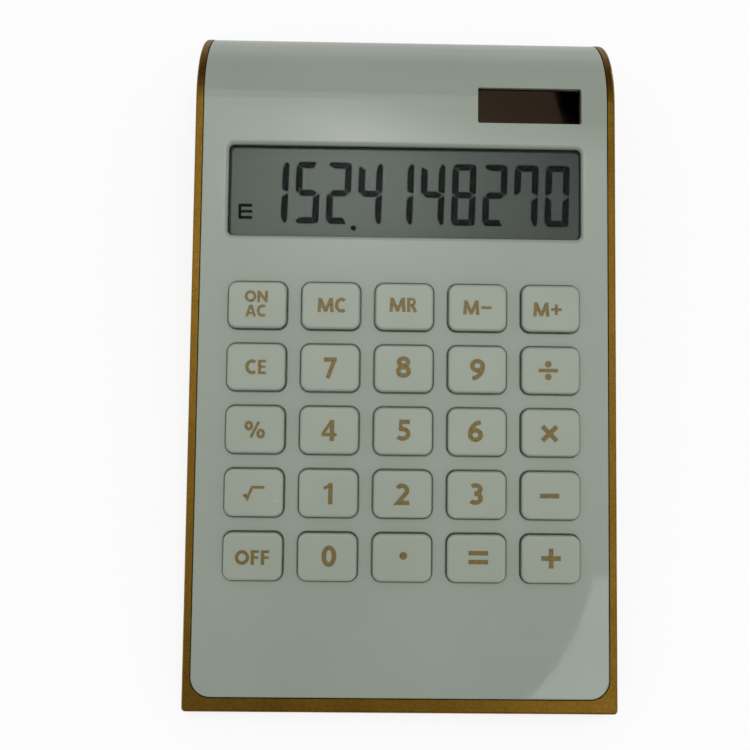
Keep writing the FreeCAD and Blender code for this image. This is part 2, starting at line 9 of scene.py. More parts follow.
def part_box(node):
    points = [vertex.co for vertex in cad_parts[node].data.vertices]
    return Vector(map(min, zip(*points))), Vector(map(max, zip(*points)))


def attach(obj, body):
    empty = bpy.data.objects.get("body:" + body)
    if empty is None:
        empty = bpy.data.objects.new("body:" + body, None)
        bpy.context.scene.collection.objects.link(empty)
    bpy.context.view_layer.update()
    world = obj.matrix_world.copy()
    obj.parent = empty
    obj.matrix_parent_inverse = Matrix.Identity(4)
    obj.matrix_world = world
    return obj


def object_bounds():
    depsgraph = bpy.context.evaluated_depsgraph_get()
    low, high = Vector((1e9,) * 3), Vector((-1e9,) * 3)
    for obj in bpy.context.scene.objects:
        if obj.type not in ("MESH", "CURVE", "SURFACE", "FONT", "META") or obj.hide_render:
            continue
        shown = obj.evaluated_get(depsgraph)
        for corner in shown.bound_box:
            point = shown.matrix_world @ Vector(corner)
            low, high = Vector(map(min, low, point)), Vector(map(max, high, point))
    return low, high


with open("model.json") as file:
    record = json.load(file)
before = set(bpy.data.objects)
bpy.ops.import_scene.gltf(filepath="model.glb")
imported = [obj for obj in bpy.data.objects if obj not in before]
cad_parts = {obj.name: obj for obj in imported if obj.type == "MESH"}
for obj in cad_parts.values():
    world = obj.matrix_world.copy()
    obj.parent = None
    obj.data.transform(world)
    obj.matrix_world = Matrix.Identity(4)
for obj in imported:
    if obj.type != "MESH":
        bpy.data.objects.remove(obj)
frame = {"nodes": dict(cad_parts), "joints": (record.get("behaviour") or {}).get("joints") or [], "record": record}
cadLow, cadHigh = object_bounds()
nodes = frame["nodes"]
mm = 0.001
print("frame loaded:", len(nodes), "nodes")

# The face: out of it is against the way a key is pressed, up it is towards the back
pressAxis = Vector(next(j["axis"] for j in frame["joints"] if j["type"] == "slide")).normalized()
faceOut = -pressAxis
faceUp = Vector((0, faceOut.z, -faceOut.y))
faceTurn = Matrix((Vector((1, 0, 0)), faceUp, faceOut)).transposed()


def faceBox(nodeName):
    # lowest and highest corner of a node across, up and out of the face
    points = [faceTurn.transposed() @ v.co for v in nodes[nodeName].data.vertices]
    low = Vector([min(p[i] for p in points) for i in range(3)])
    high = Vector([max(p[i] for p in points) for i in range(3)])
    return low, high


# Node helpers for the materials

def newMaterial(name):
    material = bpy.data.materials.new(name)
    material.use_nodes = True
    tree = material.node_tree
    return material, tree, tree.nodes["Principled BSDF"]


def addNode(tree, kind, values=(), **settings):
    node = tree.nodes.new(kind)
    for key, value in settings.items():
        setattr(node, key, value)
    for socket, value in dict(values).items():
        node.inputs[socket].default_value = value
    return node


def srgb(r, g, b):
    # screen colour, 0 to 255, as the linear colour that a shader takes
    def linear(c):
        c = c / 255
        return c / 12.92 if c <= 0.04045 else ((c + 0.055) / 1.055) ** 2.4
    return (linear(r), linear(g), linear(b), 1)


def objectCoords(tree):
    return addNode(tree, "ShaderNodeTexCoord").outputs["Object"]


noiseWide, noiseNarrow = (0.3, 0.7), (0.35, 0.65)  # where nearly all and where most of a noise lies


def noise(tree, coords, scale, detail=2.0, roughness=0.5):
    node = addNode(tree, "ShaderNodeTexNoise", {"Scale": scale, "Detail": detail, "Roughness": roughness})
    tree.links.new(coords, node.inputs["Vector"])
    return node.outputs["Fac"]


def mapRange(tree, value, low, high, toLow, toHigh):
    node = addNode(tree, "ShaderNodeMapRange",
                   {"From Min": low, "From Max": high, "To Min": toLow, "To Max": toHigh})
    tree.links.new(value, node.inputs["Value"])
    return node.outputs["Result"]


def mixColours(tree, factor, first, second):
    node = addNode(tree, "ShaderNodeMix", data_type="RGBA")
    node.inputs["A"].default_value = first
    node.inputs["B"].default_value = second
    tree.links.new(factor, node.inputs["Factor"])
    return node.outputs["Result"]


def bump(tree, shader, height, distance):
    node = addNode(tree, "ShaderNodeBump", {"Distance": distance})
    tree.links.new(height, node.inputs["Height"])
    tree.links.new(node.outputs["Normal"], shader.inputs["Normal"])


# Finishes

mouldLook = {"toneScale": 26, "smudgeScale": 90, "smudge": (0.42, 0.72), "peelScale": 700, "ior": 1.5,
             "coatGloss": 0.03}
plateLook = {"light": srgb(144, 152, 141), "dark": srgb(140, 148, 137),
             "gloss": (0.03, 0.08), "coat": 0.3, "peel": 0.000002}
keyLook = {"light": srgb(146, 154, 140), "dark": srgb(142, 150, 136),
           "gloss": (0.16, 0.28), "coat": 0.35, "peel": 0.000005}


def glossPlastic(name, look):
    # moulded gloss: faint unevenness of tone, wiped smudges in the gloss, a trace of orange peel
    material, tree, shader = newMaterial(name)
    coords = objectCoords(tree)
    tone = mapRange(tree, noise(tree, coords, mouldLook["toneScale"], 3), *noiseNarrow, 0, 1)
    tree.links.new(mixColours(tree, tone, look["dark"], look["light"]), shader.inputs["Base Color"])
    wipe = noise(tree, coords, mouldLook["smudgeScale"], 5, 0.62)
    tree.links.new(mapRange(tree, wipe, *mouldLook["smudge"], *look["gloss"]), shader.inputs["Roughness"])
    shader.inputs["IOR"].default_value = mouldLook["ior"]
    shader.inputs["Coat Weight"].default_value = look["coat"]
    shader.inputs["Coat Roughness"].default_value = mouldLook["coatGloss"]
    bump(tree, shader, noise(tree, coords, mouldLook["peelScale"]), look["peel"])
    return material


goldLook = {"dark": srgb(115, 81, 20), "light": srgb(156, 121, 45), "flakeScale": 4200, "spark": 0.55,
            "cloudScale": 60, "cloud": (0.07, 0.38), "gloss": (0.30, 0.46), "metal": 0.95,
            "grainScale": 1500, "grain": 0.000012}


def goldPaint():
    # metallic paint on plastic: fine flake in the tone, a soft cloud, satin gloss
    look = goldLook
    material, tree, shader = newMaterial("gold paint")
    coords = objectCoords(tree)
    flake = addNode(tree, "ShaderNodeTexVoronoi", {"Scale": look["flakeScale"]})
    tree.links.new(coords, flake.inputs["Vector"])
    spark = addNode(tree, "ShaderNodeSeparateColor")
    tree.links.new(flake.outputs["Color"], spark.inputs["Color"])
    tone = addNode(tree, "ShaderNodeMath", operation="MULTIPLY_ADD")
    tree.links.new(spark.outputs["Red"], tone.inputs[0])
    tone.inputs[1].default_value = look["spark"]
    cloud = noise(tree, coords, look["cloudScale"], 3)
    tree.links.new(mapRange(tree, cloud, *noiseWide, *look["cloud"]), tone.inputs[2])
    paint = mixColours(tree, tone.outputs[0], look["dark"], look["light"])
    tree.links.new(paint, shader.inputs["Base Color"])
    tree.links.new(mapRange(tree, spark.outputs["Green"], 0, 1, *look["gloss"]), shader.inputs["Roughness"])
    shader.inputs["Metallic"].default_value = look["metal"]
    bump(tree, shader, noise(tree, coords, look["grainScale"]), look["grain"])
    return material


filmLook = {"light": srgb(69, 80, 70), "dark": srgb(44, 53, 46), "paintedShadeSpan": (0.0, 0.042),
            "shade": (-0.06, 0.94), "cloudScale": 45, "cloud": 0.25, "grainScale": 2500,
            "gloss": (0.14, 0.22), "specular": 0.5}


def displayFilm():
    # grey-green polariser over the reflector, with painted shade that darkens it to the right, and a soft gloss
    look = filmLook
    material, tree, shader = newMaterial("display film")
    coords = objectCoords(tree)
    split = addNode(tree, "ShaderNodeSeparateXYZ")
    tree.links.new(coords, split.inputs["Vector"])
    # painted shade: the film's tone darkens from left to right across the window
    side = mapRange(tree, split.outputs["X"], *look["paintedShadeSpan"], *look["shade"])
    cloud = addNode(tree, "ShaderNodeMath", operation="MULTIPLY_ADD")
    tree.links.new(noise(tree, coords, look["cloudScale"]), cloud.inputs[0])
    cloud.inputs[1].default_value = look["cloud"]
    tree.links.new(side, cloud.inputs[2])
    tint = mixColours(tree, cloud.outputs[0], look["light"], look["dark"])
    tree.links.new(tint, shader.inputs["Base Color"])
    grain = noise(tree, coords, look["grainScale"], 1)
    tree.links.new(mapRange(tree, grain, *noiseWide, *look["gloss"]), shader.inputs["Roughness"])
    shader.inputs["Specular IOR Level"].default_value = look["specular"]
    return material


solarLook = {"light": srgb(63, 52, 40), "dark": srgb(59, 48, 37), "cloudScale": 70, "wipeScale": 160,
             "gloss": (0.02, 0.05), "metal": 1.0}


def solarGlass():
    # film cell behind glass: a dark brown mirror, a little cloudy
    look = solarLook
    material, tree, shader = newMaterial("solar glass")
    coords = objectCoords(tree)
    cloud = mapRange(tree, noise(tree, coords, look["cloudScale"]), *noiseNarrow, 0, 1)
    tree.links.new(mixColours(tree, cloud, look["light"], look["dark"]), shader.inputs["Base Color"])
    wipe = noise(tree, coords, look["wipeScale"], 3)
    tree.links.new(mapRange(tree, wipe, *noiseWide, *look["gloss"]), shader.inputs["Roughness"])
    shader.inputs["Metallic"].default_value = look["metal"]
    return material


lensLook = {"dark": srgb(30, 33, 31), "light": srgb(36, 39, 37), "tintScale": 40, "wipeScale": 120,
            "wipe": (0.4, 0.7), "gloss": (0.02, 0.06), "alpha": 0.025}


def clearLens():
    # thin clear acrylic, nearly all see-through
    look = lensLook
    material, tree, shader = newMaterial("clear acrylic")
    coords = objectCoords(tree)
    tint = mixColours(tree, noise(tree, coords, look["tintScale"]), look["dark"], look["light"])
    tree.links.new(tint, shader.inputs["Base Color"])
    wipe = noise(tree, coords, look["wipeScale"], 4)
    tree.links.new(mapRange(tree, wipe, *look["wipe"], *look["gloss"]), shader.inputs["Roughness"])
    shader.inputs["Alpha"].default_value = look["alpha"]
    return material


def speckled(name, first, second, scale, gloss, grain, metal):
    # plain finish with a grain of two tones and matching roughness and bump
    material, tree, shader = newMaterial(name)
    pattern = noise(tree, objectCoords(tree), scale, 3)
    tone = mapRange(tree, pattern, *noiseNarrow, 0, 1)
    tree.links.new(mixColours(tree, tone, first, second), shader.inputs["Base Color"])
    spread = 0.07
    rough = mapRange(tree, pattern, *noiseWide, gloss - spread, gloss + spread)
    tree.links.new(rough, shader.inputs["Roughness"])
    shader.inputs["Metallic"].default_value = metal
    bump(tree, shader, pattern, grain)
    return material


zebraLook = {"dark": srgb(40, 38, 36), "light": srgb(150, 146, 138), "layers": 900, "grainScale": 900,
             "gloss": (0.55, 0.65)}


def zebraRubber():
    # fine layers across the strip, one kind conducting and one not
    look = zebraLook
    material, tree, shader = newMaterial("zebra rubber")
    coords = objectCoords(tree)
    layers = addNode(tree, "ShaderNodeTexWave", {"Scale": look["layers"], "Distortion": 0.0},
                     wave_type="BANDS", bands_direction="X")
    tree.links.new(coords, layers.inputs["Vector"])
    stripes = mixColours(tree, layers.outputs["Fac"], look["dark"], look["light"])
    tree.links.new(stripes, shader.inputs["Base Color"])
    grain = noise(tree, coords, look["grainScale"])
    tree.links.new(mapRange(tree, grain, *noiseWide, *look["gloss"]), shader.inputs["Roughness"])
    return material


finishes = {
    "white_gloss": glossPlastic("white gloss", plateLook),
    "key_white": glossPlastic("key white", keyLook),
    "gold_paint": goldPaint(),
    "display_film": displayFilm(),
    "solar_glass": solarGlass(),
    "lens_clear": clearLens(),
    "zebra_rubber": zebraRubber(),
}
plainLook = {  # name, first tone, second tone, grain scale, roughness, grain depth, metal
    "display_glass": ("display glass", srgb(150, 158, 150), srgb(140, 149, 140), 200, 0.12, 0.0000005, 0),
    "reflector_film": ("reflector film", srgb(150, 155, 146), srgb(134, 139, 130), 1800, 0.4, 0.000003, 0),
    "membrane_rubber": ("membrane rubber", srgb(206, 208, 202), srgb(194, 197, 190), 300, 0.55, 0.00001, 0),
    "carbon_rubber": ("carbon rubber", srgb(34, 34, 34), srgb(22, 22, 22), 1500, 0.8, 0.00001, 0),
    "board_laminate": ("board laminate", srgb(150, 106, 58), srgb(128, 88, 46), 250, 0.5, 0.00001, 0),
    "chip_resin": ("chip resin", srgb(26, 26, 26), srgb(14, 14, 14), 500, 0.3, 0.00002, 0),
    "capacitor_can": ("capacitor sleeve", srgb(44, 52, 104), srgb(34, 40, 84), 400, 0.35, 0.000005, 0),
    "screw_steel": ("screw steel", srgb(178, 178, 180), srgb(150, 150, 154), 1600, 0.32, 0.000008, 1),
    "contact_steel": ("contact steel", srgb(196, 192, 184), srgb(172, 168, 160), 1300, 0.28, 0.000006, 1),
    "foot_rubber": ("foot rubber", srgb(44, 44, 44), srgb(30, 30, 30), 1400, 0.75, 0.00002, 0),
    "foam_black": ("foam", srgb(34, 34, 34), srgb(20, 20, 20), 1800, 0.9, 0.00004, 0),
    "lead_red": ("red insulation", srgb(172, 34, 28), srgb(150, 26, 22), 600, 0.45, 0.000004, 0),
    "lead_black": ("black insulation", srgb(30, 30, 30), srgb(20, 20, 20), 600, 0.45, 0.000004, 0),
    "battery_sleeve": ("battery sleeve", srgb(108, 112, 118), srgb(96, 100, 106), 300, 0.35, 0.000004, 0),
}
for slotName, look in plainLook.items():
    finishes[slotName] = speckled(*look)
for part in frame["record"]["subparts"]:
    node = nodes[part["node"]]
    node.data.materials.clear()
    node.data.materials.append(finishes[part["material_slot"]])
print("finishes on the frame:", len(finishes))


# Flat printed shapes: strokes and polygons joined into one outline, as thin as ink

def bow(cx, cy, rx, ry, start, end, steps=18):
    # elliptical sweep, degrees anticlockwise from the right
    angles = [math.radians(start + (end - start) * i / steps) for i in range(steps + 1)]
    return [(cx + rx * math.cos(a), cy + ry * math.sin(a)) for a in angles]


def ribbon(points, width):
    # outline of a stroke of even width along a line, square at its ends
    line = [Vector(p) for p in points]
    sharpest = 0.35  # keeps the outline from growing a spike at a tight corner
    left, right = [], []
    for i, p in enumerate(line):
        before = (p - line[i - 1]).normalized() if i else None
        after = (line[i + 1] - p).normalized() if i < len(line) - 1 else None
        first, second = before or after, after or before
        along = (first + second).normalized()
        across = Vector((-along.y, along.x)) * (width / 2 / max(along.dot(first), sharpest))
        left.append(p + across)
        right.append(p - across)
    return [tuple(p) for p in right + left[::-1]]


def ring(cx, cy, rx, ry, width):
    # closed stroke as two halves that overlap a little
    return [ribbon(bow(cx, cy, rx, ry, -4, 184), width), ribbon(bow(cx, cy, rx, ry, 176, 364), width)]


def disc(cx, cy, radius):
    return bow(cx, cy, radius, radius, 0, 345, 23)


def inkMesh(name, polygons, low, high, material, turn=faceTurn):
    # union of the outlines in mm, from low to high out of the face or of another plane
    points, faces = [], []
    for polygon in polygons:
        area = sum(a[0] * b[1] - b[0] * a[1] for a, b in zip(polygon, polygon[1:] + polygon[:1]))
        ordered = polygon if area > 0 else polygon[::-1]
        faces.append(list(range(len(points), len(points) + len(ordered))))
        points += [Vector(p) for p in ordered]
    near, level = 1e-5, 0.01  # points that count as one, in mm, and faces that count as flat, in radians
    joined, _, triangles, _, _, sources = delaunay_2d_cdt(points, [], faces, 1, near)
    mesh = bmesh.new()
    top = [mesh.verts.new((p.x * mm, p.y * mm, high)) for p in joined]
    for triangle, source in zip(triangles, sources):
        if source:
            mesh.faces.new([top[i] for i in triangle])
    bmesh.ops.dissolve_limit(mesh, angle_limit=level, verts=mesh.verts, edges=mesh.edges)
    loose = [v for v in mesh.verts if not v.link_faces]
    bmesh.ops.delete(mesh, geom=loose, context="VERTS")
    lower = bmesh.ops.extrude_face_region(mesh, geom=mesh.faces[:])["geom"]
    for element in lower:
        if isinstance(element, bmesh.types.BMVert):
            element.co.z = low
    bmesh.ops.recalc_face_normals(mesh, faces=mesh.faces)
    mesh.transform(turn.to_4x4())
    data = bpy.data.meshes.new(name)
    mesh.to_mesh(data)
    mesh.free()
    data.materials.append(material)
    piece = bpy.data.objects.new(name, data)
    bpy.context.scene.collection.objects.link(piece)
    return piece


# Glyphs one unit tall on a baseline at 0, each with its width

glyphStroke = {"figure": 0.212, "capital": 0.235}


def drawGlyph(sign):
    digit, letter = glyphStroke["figure"], glyphStroke["capital"]
    half = digit / 2
    if sign == "0":
        return 0.68, ring(0.34, 0.5, 0.34 - half, 0.5 - half, digit)
    if sign == "1":
        return 0.46, [ribbon([(0.33, 0), (0.33, 1)], 0.205), ribbon([(0.36, 0.93), (0.03, 0.74)], 0.15)]
    if sign == "2":
        return 0.66, [ribbon(bow(0.30, 0.69, 0.23, 0.218, 152, -28) + [(0.12, half), (0.64, half)], digit)]
    if sign == "3":
        return 0.64, [ribbon(bow(0.28, 0.722, 0.22, 0.186, 140, -90), digit),
                      ribbon(bow(0.27, 0.30, 0.255, 0.208, 100, -142), digit)]
    if sign == "4":
        return 0.74, [ribbon([(0.50, 0), (0.50, 1)], digit), ribbon([(0.47, 0.93), (0.07, 0.31)], 0.15),
                      ribbon([(0.03, 0.30), (0.72, 0.30)], 0.165)]
    if sign == "5":
        return 0.64, [ribbon([(0.60, 1 - half), (0.12, 1 - half)], digit),
                      ribbon([(0.20, 1), (0.17, 0.46)], 0.165),
                      ribbon(bow(0.27, 0.325, 0.255, 0.232, 118, -145), digit)]
    if sign == "6":
        tail = ribbon(bow(0.60, 0.34, 0.497, 0.575, 92, 180), digit)
        return 0.68, ring(0.345, 0.315, 0.242, 0.222, digit) + [tail]
    if sign == "7":
        return 0.64, [ribbon([(0.03, 1 - half), (0.62, 1 - half)], digit),
                      ribbon([(0.54, 0.95), (0.22, 0)], 0.195)]
    if sign == "8":
        return 0.68, ring(0.34, 0.735, 0.208, 0.176, digit) + ring(0.34, 0.295, 0.245, 0.204, digit)
    if sign == "9":
        width, strokes = drawGlyph("6")
        return width, [[(width - x, 1 - y) for x, y in stroke] for stroke in strokes]
    if sign == "O":
        return 0.98, ring(0.49, 0.5, 0.49 - letter / 2, 0.5 - letter / 2, letter)
    if sign == "N":
        return 0.84, [ribbon([(0.1, 0), (0.1, 1)], letter), ribbon([(0.74, 0), (0.74, 1)], letter),
                      ribbon([(0.09, 0.92), (0.75, 0.08)], letter)]
    if sign == "F":
        return 0.60, [ribbon([(0.12, 0), (0.12, 1)], letter), ribbon([(0.12, 0.91), (0.58, 0.91)], 0.18),
                      ribbon([(0.12, 0.50), (0.53, 0.50)], 0.17)]
    if sign == "E":
        return 0.60, [ribbon([(0.12, 0), (0.12, 1)], letter), ribbon([(0.12, 0.91), (0.57, 0.91)], 0.18),
                      ribbon([(0.12, 0.51), (0.53, 0.51)], 0.17), ribbon([(0.12, 0.09), (0.58, 0.09)], 0.18)]
    if sign == "C":
        return 0.76, [ribbon(bow(0.46, 0.5, 0.36, 0.41, 52, 308), letter)]
    if sign == "A":
        return 0.84, [ribbon([(0.08, 0), (0.38, 0.96)], letter), ribbon([(0.76, 0), (0.46, 0.96)], letter),
                      ribbon([(0.22, 0.28), (0.62, 0.28)], 0.16),
                      [(0.30, 0.9), (0.54, 0.9), (0.52, 1), (0.32, 1)]]
    if sign == "M":
        return 1.12, [ribbon([(0.11, 0), (0.17, 1)], letter), ribbon([(1.01, 0), (0.95, 1)], letter),
                      ribbon([(0.19, 0.95), (0.54, 0.10)], letter),
                      ribbon([(0.93, 0.95), (0.58, 0.10)], letter),
                      [(0.44, 0.12), (0.68, 0.12), (0.62, 0.0), (0.50, 0.0)]]
    if sign == "R":
        return 0.70, [ribbon([(0.12, 0), (0.12, 1)], letter), ribbon([(0.12, 0.91), (0.34, 0.91)], 0.18),
                      ribbon(bow(0.33, 0.70, 0.20, 0.21, 92, -92), 0.19),
                      ribbon([(0.12, 0.49), (0.34, 0.49)], 0.18), ribbon([(0.33, 0.52), (0.62, 0)], letter)]
    raise ValueError(sign)


def typeSet(text, height, stretch=1.0, spacing=0.10):
    # one line of glyphs, centred on the origin, in mm
    x, outlines = 0, []
    for sign in text:
        width, strokes = drawGlyph(sign)
        outlines += [[((px + x) * height * stretch, (py - 0.5) * height) for px, py in s] for s in strokes]
        x += width + spacing
    shift = (x - spacing) * height * stretch / 2
    return [[(px - shift, py) for px, py in s] for s in outlines]


def shifted(outlines, dx, dy):
    return [[(x + dx, y + dy) for x, y in s] for s in outlines]


legendLook = {"digit": 5.1, "digitStretch": 1.04, "letter": 3.5, "small": 2.9, "lineShift": 1.75,
              "memoryShift": -1.6, "besideShift": 2.1, "besideMinus": (2.5, 0.70), "besidePlus": (2.6, 0.72),
              "sign": 4.75, "bar": 1.15, "divideBar": 0.88, "dot": 0.82, "dotShift": 1.55, "cross": 0.37,
              "equalsBar": 1.08, "equalsShift": 1.05, "point": 0.95, "thin": 0.68, "slash": (0.95, 1.9),
              "percentRing": (0.68, 0.84), "percentStroke": 0.74, "percentShift": (1.45, 0.95),
              "ink": 0.03, "sink": 0.01, "dark": srgb(100, 85, 41), "light": srgb(113, 98, 51),
              "grainScale": 1300, "gloss": (0.26, 0.36), "metal": 0.15,
              "offset": {"on_ac": (-0.3, 0.3), "mc": (0.2, 0.15), "mr": (-0.3, 0.45), "m_plus": (-0.8, -0.25),
                         "8": (-0.1, 0.4), "divide": (-0.7, 0), "5": (0.1, 0.3), "6": (-0.45, 0.25),
                         "multiply": (-0.35, -0.15), "3": (-0.15, 0.3), "minus": (-0.35, 0), "off": (0, -0.2),
                         "0": (0.4, 0.3), "point": (0.3, 0.55), "equals": (0.4, 0.3), "plus": (0, 0.25)}}


def bar(width, thickness, dx=0, dy=0):
    return [(dx - width / 2, dy - thickness / 2), (dx + width / 2, dy - thickness / 2),
            (dx + width / 2, dy + thickness / 2), (dx - width / 2, dy + thickness / 2)]


def legendShapes(keyName):
    look = legendLook
    size, thick = look["sign"], look["bar"]
    if keyName in "0123456789":
        return typeSet(keyName, look["digit"], look["digitStretch"])
    if keyName == "on_ac":
        lines = shifted(typeSet("ON", look["small"]), 0, look["lineShift"])
        return lines + shifted(typeSet("AC", look["small"]), 0, -look["lineShift"])
    if keyName in ("mc", "mr", "ce", "off"):
        return typeSet(keyName.upper(), look["letter"])
    if keyName in ("m_minus", "m_plus"):
        letter = shifted(typeSet("M", look["letter"]), look["memoryShift"], 0)
        beside = look["besideShift"]
        if keyName == "m_minus":
            return letter + [bar(*look["besideMinus"], beside)]
        return letter + [bar(*look["besidePlus"], beside), bar(*look["besidePlus"][::-1], beside)]
    if keyName == "divide":
        dots = [disc(0, side * look["dotShift"], look["dot"]) for side in (1, -1)]
        return [bar(size, look["divideBar"])] + dots
    if keyName == "multiply":
        reach = size * look["cross"]
        return [ribbon([(-reach, -side * reach), (reach, side * reach)], thick) for side in (1, -1)]
    if keyName == "minus":
        return [bar(size, thick)]
    if keyName == "plus":
        return [bar(size, thick), bar(thick, size)]
    if keyName == "equals":
        return [bar(size, look["equalsBar"], 0, side * look["equalsShift"]) for side in (1, -1)]
    if keyName == "point":
        return [disc(0, 0, look["point"])]
    if keyName == "root":
        hook = [(-2.5, -0.75), (-1.95, -0.55), (-1.5, -1.35), (-0.35, 1.35), (2.6, 1.35)]
        return [ribbon(hook, look["thin"])]
    if keyName == "percent":
        x, y = look["percentShift"]
        rings = [ring(-side * x, side * y, *look["percentRing"], look["percentStroke"]) for side in (1, -1)]
        x, y = look["slash"]
        return rings[0] + rings[1] + [ribbon([(-x, -y), (x, y)], look["thin"])]
    raise ValueError(keyName)


def legendInk():
    # gold-brown print with a trace of metal, a little uneven in density
    look = legendLook
    material, tree, shader = newMaterial("legend ink")
    density = mapRange(tree, noise(tree, objectCoords(tree), look["grainScale"], 4), *noiseWide, 0, 1)
    tree.links.new(mixColours(tree, density, look["dark"], look["light"]), shader.inputs["Base Color"])
    tree.links.new(mapRange(tree, density, 0, 1, *look["gloss"]), shader.inputs["Roughness"])
    shader.inputs["Metallic"].default_value = look["metal"]
    return material


ink = legendInk()
legends = 0
for nodeName in nodes:
    if not nodeName.startswith("key_"):
        continue
    keyName = nodeName.removeprefix("key_")
    low, high = faceBox(nodeName)
    middle = (low + high) / 2
    dx, dy = legendLook["offset"].get(keyName, (0, 0))
    outlines = shifted(legendShapes(keyName), middle.x / mm + dx, middle.y / mm + dy)
    inkFoot, inkTop = high.z - legendLook["sink"] * mm, high.z + legendLook["ink"] * mm
    legend = inkMesh("legend_" + keyName, outlines, inkFoot, inkTop, ink)
    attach(legend, nodeName)
    legends += 1
print("legends printed:", legends)


# Display: seven-segment figures, a small letter and a point on the film, under the clear lens

displayLook = {"row": "1524148270", "pitch": 7.84, "first": -35.49, "base": -7.95, "slant": 0.0285,
               "size": 0.995, "swell": 0.055, "point": (-12.82, -8.95), "pointRadius": 0.71,
               "letter": (-39.87, -5.11), "letterSize": (3.5, 3.86), "letterStem": 0.76,
               "letterBar": 0.80, "letterMiddle": 0.72,
               "ink": 0.015, "inkGap": 0.004, "inkScale": 500, "gloss": (0.17, 0.21), "specular": 0.075,
               "segmentTones": (srgb(3, 9, 8), srgb(6, 13, 11)),
               "borderTones": (srgb(43, 47, 44), srgb(51, 55, 52)),
               "lensOverlap": 1.2, "border": 0.43, "borderShift": 0.13, "borderWidth": 1.4,
               "borderRound": 1.1}
segmentShapes = {
    "a": [(0.30, 14.98), (0.55, 15.45), (0.95, 15.68), (5.02, 15.68), (4.27, 14.10), (1.88, 14.10)],
    "b": [(4.45, 14.02), (4.45, 8.82), (5.62, 8.02), (5.85, 8.08), (6.03, 8.36), (6.03, 14.75), (5.78, 15.32),
          (5.22, 15.60)],
    "c": [(5.85, 7.52), (4.50, 6.62), (4.40, 1.85), (5.28, 0.06), (5.74, 0.22), (6.03, 0.80), (6.03, 7.34)],
    "d": [(0.28, 0.72), (0.95, 0.0), (5.08, 0.0), (4.22, 1.58), (1.52, 1.58)],
    "e": [(0.0, 7.10), (0.0, 1.25), (0.16, 0.92), (1.60, 1.82), (1.60, 6.66), (0.56, 7.50), (0.30, 7.46)],
    "f": [(0.0, 14.35), (0.18, 14.76), (1.62, 13.90), (1.62, 8.86), (0.56, 8.06), (0.25, 8.06), (0.0, 8.42)],
    "g": [(0.72, 7.78), (1.50, 7.0), (4.50, 7.0), (5.36, 7.76), (4.24, 8.58), (1.50, 8.58)],
}
litSegments = {"0": "abcdef", "1": "bc", "2": "abged", "4": "fgbc", "5": "afgcd", "7": "abcf", "8": "abcdefg"}


def swollen(outline, by):
    # the outline with every side moved out by the same small amount
    corners = [Vector(p) for p in outline]
    area = sum(a.x * b.y - b.x * a.y for a, b in zip(corners, corners[1:] + corners[:1]))
    turn = math.copysign(1, area)
    sharpest = 0.5
    moved = []
    for before, corner, after in zip(corners[-1:] + corners[:-1], corners, corners[1:] + corners[:1]):
        first, second = (corner - before).normalized(), (after - corner).normalized()
        along = (first + second).normalized()
        moved.append(corner + Vector((along.y, -along.x)) * (turn * by / max(along.dot(first), sharpest)))
    return [tuple(p) for p in moved]


def displayShapes():
    look = displayLook
    outlines = []
    for place, figure in enumerate(look["row"]):
        left = look["first"] + place * look["pitch"]
        for name in litSegments[figure]:
            outlines.append([(left + (x + y * look["slant"]) * look["size"], look["base"] + y * look["size"])
                             for x, y in swollen(segmentShapes[name], look["swell"])])
    x, y = look["letter"]
    width, height = look["letterSize"]
    rise = (height - look["letterBar"]) / 2
    outlines += [bar(width, look["letterBar"], x, y + rise), bar(width, look["letterMiddle"], x, y),
                 bar(width, look["letterBar"], x, y - rise)]
    outlines.append(bar(look["letterStem"], height, x - (width - look["letterStem"]) / 2, y))
    outlines.append(disc(*look["point"], look["pointRadius"]))
    return outlines


def displayInk(name, dark, light):
    # green-black of a driven liquid crystal, or grey of the printed frame that also serves as painted shade at the
    # window's edge, slightly uneven
    look = displayLook
    material, tree, shader = newMaterial(name)
    density = mapRange(tree, noise(tree, objectCoords(tree), look["inkScale"], 3), *noiseWide, 0, 1)
    tree.links.new(mixColours(tree, density, dark, light), shader.inputs["Base Color"])
    tree.links.new(mapRange(tree, density, 0, 1, *look["gloss"]), shader.inputs["Roughness"])
    shader.inputs["Specular IOR Level"].default_value = look["specular"]
    return material


def borderShapes(halfX, halfY):
    # dark printed frame, partly painted shade along the window's edge, whose inner edge shows just inside the
    # window, as four quarters round inside
    look = displayLook
    x, y, bend = halfX - look["border"], halfY - look["border"], look["borderRound"]
    outerX, outerY = x + look["borderWidth"], y + look["borderWidth"]
    quarter = bow(x - bend, y - bend, bend, bend, 0, 90, 8)
    quarter += [(0, y), (0, outerY), (outerX, outerY), (outerX, 0), (x, 0)]
    return [[(sx * px, sy * py) for px, py in quarter] for sx, sy in ((1, 1), (-1, 1), (-1, -1), (1, -1))]


lensLow, lensHigh = faceBox("display_lens")
filmTop = faceBox("display_front_film")[1].z
lensMiddle = (lensLow + lensHigh) / 2
windowHalf = (lensHigh - lensLow) / 2 / mm - Vector((displayLook["lensOverlap"],) * 3)
inkLow = filmTop + displayLook["inkGap"] * mm
inkHigh = inkLow + displayLook["ink"] * mm
# the frame print also stands as painted shade along the window's edge, set a little right and down
frameShift = displayLook["borderShift"]
border = shifted(borderShapes(windowHalf.x, windowHalf.y), frameShift, -frameShift)
segmentInk = displayInk("display segment", *displayLook["segmentTones"])
borderInkAndShade = displayInk("display frame print and painted shade", *displayLook["borderTones"])
for pieceName, outlines, finish in (("display_figures", displayShapes(), segmentInk),
                                    ("display_border", border, borderInkAndShade)):
    placed = shifted(outlines, lensMiddle.x / mm, lensMiddle.y / mm)
    piece = inkMesh(pieceName, placed, inkLow, inkHigh, finish)
    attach(piece, "case")
print("display figures:", len(displayLook["row"]))


# Battery door: a row of half-round grip ribs and an opening arrow, moulded on its underside

